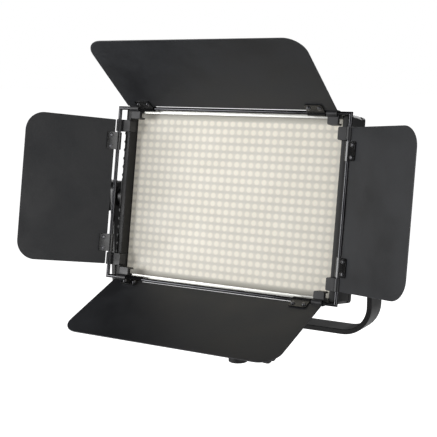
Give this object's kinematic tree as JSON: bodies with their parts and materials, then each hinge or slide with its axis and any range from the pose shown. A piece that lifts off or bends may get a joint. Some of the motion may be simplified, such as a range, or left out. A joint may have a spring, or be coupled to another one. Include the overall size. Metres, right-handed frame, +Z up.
{
  "type": "led panel light",
  "caption": "Rectangular LED panel light with a frosted front, folding barn doors on a rod frame, a tilting U-bracket and a stand receiver.",
  "frame": {"origin": "centre of the lower end of the stand receiver, where the stand's spigot enters", "axes": "+Z up along the spigot, -Y the way the light shines with the bracket upright, +X to the right as seen from in front"},
  "size_m": [0.5187, 0.2244, 0.4261],
  "materials": {
    "case_plastic": "moulded black plastic, fine texture",
    "knob_plastic": "moulded black plastic, satin",
    "door_sheet": "sheet with a matt black powder coat",
    "hinge_steel": "black coated pressed steel",
    "bracket_alloy": "flat alloy bar with a satin black coat",
    "rod_steel": "blackened steel rod",
    "bare_aluminium": "extruded, satin",
    "diffuser_acrylic": "frosted translucent sheet",
    "circuit_board": "solder resist on glass laminate",
    "zinc_steel": "zinc plated",
    "rubber_parts": "moulded",
    "display_glass": "dark window over a display"
  },
  "bodies": {
    "bracket": {"u_bracket": "bracket_alloy", "stand_receiver": "bracket_alloy", "receiver_bolt": "zinc_steel"},
    "panel": {"side_cap_left": "case_plastic", "side_cap_right": "case_plastic", "rail_top": "bare_aluminium", "rail_bottom": "bare_aluminium", "rear_cover": "case_plastic", "diffuser_sheet": "diffuser_acrylic", "led_board": "circuit_board", "heat_sink": "bare_aluminium", "driver_board": "circuit_board", "control_board": "circuit_board", "brightness_potentiometer": "zinc_steel", "colour_potentiometer": "zinc_steel", "control_plate": "case_plastic", "display_window": "display_glass", "power_inlet": "case_plastic", "rocker_bezel": "case_plastic", "battery_plate_left": "case_plastic", "battery_plate_right": "case_plastic", "pivot_block_left": "case_plastic", "pivot_block_right": "case_plastic", "friction_washer_left": "rubber_parts", "friction_washer_right": "rubber_parts", "rod_frame": "rod_steel", "frame_clip_left_1": "hinge_steel", "frame_clip_left_2": "hinge_steel", "frame_clip_right_1": "hinge_steel", "frame_clip_right_2": "hinge_steel", "frame_clip_top_1": "hinge_steel", "frame_clip_top_2": "hinge_steel", "frame_clip_bottom_1": "hinge_steel", "frame_clip_bottom_2": "hinge_steel"},
    "door_left": {"barn_door_left": "door_sheet", "door_hinge_left_1": "hinge_steel", "door_hinge_left_2": "hinge_steel"},
    "door_right": {"barn_door_right": "door_sheet", "door_hinge_right_1": "hinge_steel", "door_hinge_right_2": "hinge_steel"},
    "door_top": {"barn_door_top": "door_sheet", "door_hinge_top_1": "hinge_steel", "door_hinge_top_2": "hinge_steel"},
    "door_bottom": {"barn_door_bottom": "door_sheet", "door_hinge_bottom_1": "hinge_steel", "door_hinge_bottom_2": "hinge_steel"},
    "tilt_lock_left": {"tilt_knob_left": "knob_plastic", "tilt_screw_left": "zinc_steel"},
    "tilt_lock_right": {"tilt_knob_right": "knob_plastic", "tilt_screw_right": "zinc_steel"},
    "receiver_lock": {"receiver_knob": "knob_plastic", "receiver_screw": "zinc_steel"},
    "brightness_dial": {"brightness_knob": "knob_plastic"},
    "colour_dial": {"colour_knob": "knob_plastic"},
    "power_switch": {"power_rocker": "knob_plastic"},
    "battery_latch_left": {"battery_release_left": "rubber_parts"},
    "battery_latch_right": {"battery_release_right": "rubber_parts"}
  },
  "joints": [
    {"name": "panel_tilt", "type": "hinge", "parent": "bracket", "child": "panel", "pos_m": [0, 0, 0.2127], "axis": [-1, 0, 0], "range_deg": [-24, 80]},
    {"name": "door_top_swing", "type": "hinge", "parent": "panel", "child": "door_top", "pos_m": [0, -0.02592, 0.33801], "axis": [-1, 0, 0], "range_deg": [-114.8, 38.2]},
    {"name": "door_bottom_swing", "type": "hinge", "parent": "panel", "child": "door_bottom", "pos_m": [0, -0.06233, 0.11172], "axis": [1, 0, 0], "range_deg": [-115.4, 41.6]},
    {"name": "door_left_swing", "type": "hinge", "parent": "panel", "child": "door_left", "pos_m": [-0.1694, -0.04413, 0.22486], "axis": [0, 0.1588, 0.9873], "range_deg": [-37.9, 120.1]},
    {"name": "door_right_swing", "type": "hinge", "parent": "panel", "child": "door_right", "pos_m": [0.1694, -0.04413, 0.22486], "axis": [0, -0.1588, -0.9873], "range_deg": [-12.7, 145.3]},
    {"name": "tilt_lock_left_turn", "type": "hinge", "parent": "panel", "child": "tilt_lock_left", "pos_m": [-0.205, 0, 0.2127], "axis": [-1, 0, 0], "range_deg": [0, 360]},
    {"name": "tilt_lock_right_turn", "type": "hinge", "parent": "panel", "child": "tilt_lock_right", "pos_m": [0.205, 0, 0.2127], "axis": [1, 0, 0], "range_deg": [0, 360]},
    {"name": "receiver_lock_turn", "type": "hinge", "parent": "bracket", "child": "receiver_lock", "pos_m": [0.045, 0, 0.024], "axis": [1, 0, 0], "range_deg": [0, 720]},
    {"name": "brightness_dial_turn", "type": "hinge", "parent": "panel", "child": "brightness_dial", "pos_m": [-0.026, 0.02465, 0.21481], "axis": [0, 0.9873, -0.1588], "range_deg": [-150, 150]},
    {"name": "colour_dial_turn", "type": "hinge", "parent": "panel", "child": "colour_dial", "pos_m": [0.026, 0.02465, 0.21481], "axis": [0, 0.9873, -0.1588], "range_deg": [-150, 150]},
    {"name": "power_switch_rock", "type": "hinge", "parent": "panel", "child": "power_switch", "pos_m": [0.024, 0.0137, 0.18771], "axis": [1, 0, 0], "range_deg": [-16, 0]},
    {"name": "battery_latch_left_slide", "type": "slide", "parent": "panel", "child": "battery_latch_left", "axis": [0, -0.1588, -0.9873], "range_m": [0, 0.003], "stiffness_N_per_m": 250, "springref_m": -0.002},
    {"name": "battery_latch_right_slide", "type": "slide", "parent": "panel", "child": "battery_latch_right", "axis": [0, -0.1588, -0.9873], "range_m": [0, 0.003], "stiffness_N_per_m": 250, "springref_m": -0.002}
  ]
}
